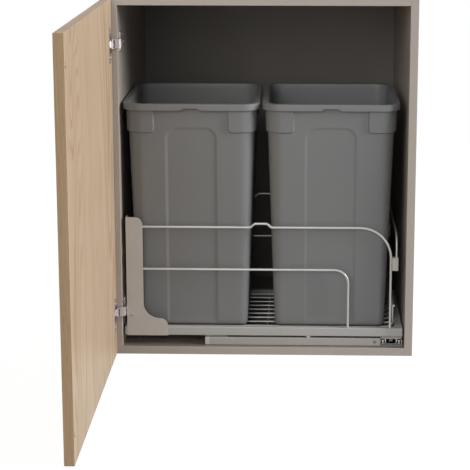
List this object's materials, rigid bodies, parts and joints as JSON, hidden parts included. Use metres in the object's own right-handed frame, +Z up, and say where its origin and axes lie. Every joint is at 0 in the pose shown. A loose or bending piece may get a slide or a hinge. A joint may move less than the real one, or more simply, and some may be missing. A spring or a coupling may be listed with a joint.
{
  "type": "pull out trash cabinet",
  "caption": "Fitted base cabinet with a hinged door on concealed hinges and a pull out wire frame on ball runners that carries two lift out waste bins.",
  "frame": {"origin": "centre of the carcass underside, on the surface it stands on", "axes": "+Z up, +Y to the back of the cabinet, +X to the right seen from the front; the door is hinged at -X"},
  "size_m": [0.613, 1.1585, 0.72],
  "materials": {
    "carcass_board": "smooth melamine faced board",
    "back_board": "thin melamine faced board",
    "door_wood": "light ash grain, matt",
    "hinge_steel": "nickel plated steel",
    "zinc_screw": "zinc plated screws and pins",
    "frame_coat": "warm light grey powder coat",
    "wire_coat": "off white coated wire",
    "bin_plastic": "mid grey moulded plastic",
    "white_plastic": "white moulded plastic",
    "clear_plastic": "clear soft plastic",
    "grey_plastic": "grey moulded plastic",
    "runner_steel": "bright zinc plated steel"
  },
  "bodies": {
    "cabinet": {"side_panel_left": "carcass_board", "side_panel_right": "carcass_board", "bottom_panel": "carcass_board", "top_panel": "carcass_board", "back_panel": "back_board", "joint_screws": "zinc_screw", "screw_caps": "grey_plastic", "hinge_plate_bottom": "hinge_steel", "hinge_plate_top": "hinge_steel", "hinge_arm_bottom": "hinge_steel", "hinge_arm_top": "hinge_steel", "hinge_arm_pins": "zinc_screw", "hinge_plate_screws": "zinc_screw", "runner_outer_left": "runner_steel", "runner_outer_right": "runner_steel", "runner_screws": "zinc_screw"},
    "hinge_link_top": {"hinge_link_top": "hinge_steel"},
    "hinge_link_bottom": {"hinge_link_bottom": "hinge_steel"},
    "door": {"door_leaf": "door_wood", "door_bumpers": "clear_plastic", "hinge_cup_bottom": "hinge_steel", "hinge_cup_top": "hinge_steel", "hinge_cup_pins": "zinc_screw", "hinge_cup_screws": "zinc_screw"},
    "drawer": {"front_rail": "frame_coat", "rear_rail": "frame_coat", "left_end_tube": "frame_coat", "right_end_tube": "frame_coat", "tube_end_caps": "grey_plastic", "front_bracket": "frame_coat", "rear_bracket": "frame_coat", "bracket_rivets": "frame_coat", "front_long_wire": "wire_coat", "front_short_wire": "wire_coat", "rear_long_wire": "wire_coat", "rear_short_wire": "wire_coat", "floor_wires": "wire_coat", "cross_wires": "wire_coat", "end_hoop": "wire_coat", "wire_clips": "white_plastic", "tie_rail": "frame_coat", "tie_rail_cap": "white_plastic", "tie_rail_clips": "white_plastic", "carrier_left": "frame_coat", "carrier_right": "frame_coat", "runner_inner_left": "runner_steel", "runner_inner_right": "runner_steel", "lever_pins": "zinc_screw"},
    "runner_middle": {"runner_middle_left": "runner_steel", "runner_middle_right": "runner_steel"},
    "outer_ball_cages": {"outer_cages": "runner_steel", "outer_balls": "zinc_screw"},
    "inner_ball_cages": {"inner_cages": "runner_steel", "inner_balls": "zinc_screw"},
    "left_bin": {"left_bin": "bin_plastic"},
    "right_bin": {"right_bin": "bin_plastic"},
    "release_lever_left": {"release_lever_left": "grey_plastic"},
    "release_lever_right": {"release_lever_right": "grey_plastic"}
  },
  "joints": [
    {"name": "hinge_top_link", "type": "hinge", "parent": "cabinet", "child": "hinge_link_top", "pos_m": [-0.29303, -0.29071, 0.63], "axis": [0, 0, -1], "range_deg": [-130.02, 7.2]},
    {"name": "door_swing", "type": "hinge", "parent": "hinge_link_top", "child": "door", "pos_m": [-0.3035, -0.3035, 0.63], "axis": [0, 0, -1], "range_deg": [-2.3, 40.1]},
    {"name": "hinge_bottom_link", "type": "hinge", "parent": "cabinet", "child": "hinge_link_bottom", "pos_m": [-0.29303, -0.29071, 0.09], "axis": [0, 0, -1], "range_deg": [-130.02, 7.2]},
    {"name": "drawer_slide", "type": "slide", "parent": "cabinet", "child": "drawer", "axis": [0, -1, 0], "range_m": [0, 0.34]},
    {"name": "runner_middle_slide", "type": "slide", "parent": "cabinet", "child": "runner_middle", "axis": [0, -1, 0], "range_m": [0, 0.17]},
    {"name": "outer_cage_slide", "type": "slide", "parent": "cabinet", "child": "outer_ball_cages", "axis": [0, -1, 0], "range_m": [0, 0.085]},
    {"name": "inner_cage_slide", "type": "slide", "parent": "cabinet", "child": "inner_ball_cages", "axis": [0, -1, 0], "range_m": [0, 0.255]},
    {"name": "left_bin_lift", "type": "slide", "parent": "drawer", "child": "left_bin", "axis": [0, 0, 1], "range_m": [0, 0.11]},
    {"name": "right_bin_lift", "type": "slide", "parent": "drawer", "child": "right_bin", "axis": [0, 0, 1], "range_m": [0, 0.11]},
    {"name": "left_lever_turn", "type": "hinge", "parent": "drawer", "child": "release_lever_left", "pos_m": [-0.096, -0.2085, 0.0246], "axis": [0, 0, 1], "range_deg": [-4, 4], "stiffness_Nm_per_rad": 0.05},
    {"name": "right_lever_turn", "type": "hinge", "parent": "drawer", "child": "release_lever_right", "pos_m": [0.258, -0.2085, 0.0246], "axis": [0, 0, 1], "range_deg": [-4, 4], "stiffness_Nm_per_rad": 0.05}
  ],
  "couplings": [
    {"joint": "door_swing", "follows": "hinge_top_link", "ratio": -0.30781},
    {"joint": "hinge_bottom_link", "follows": "hinge_top_link", "ratio": 1},
    {"joint": "runner_middle_slide", "follows": "drawer_slide", "ratio": 0.5},
    {"joint": "outer_cage_slide", "follows": "drawer_slide", "ratio": 0.25},
    {"joint": "inner_cage_slide", "follows": "drawer_slide", "ratio": 0.75}
  ]
}
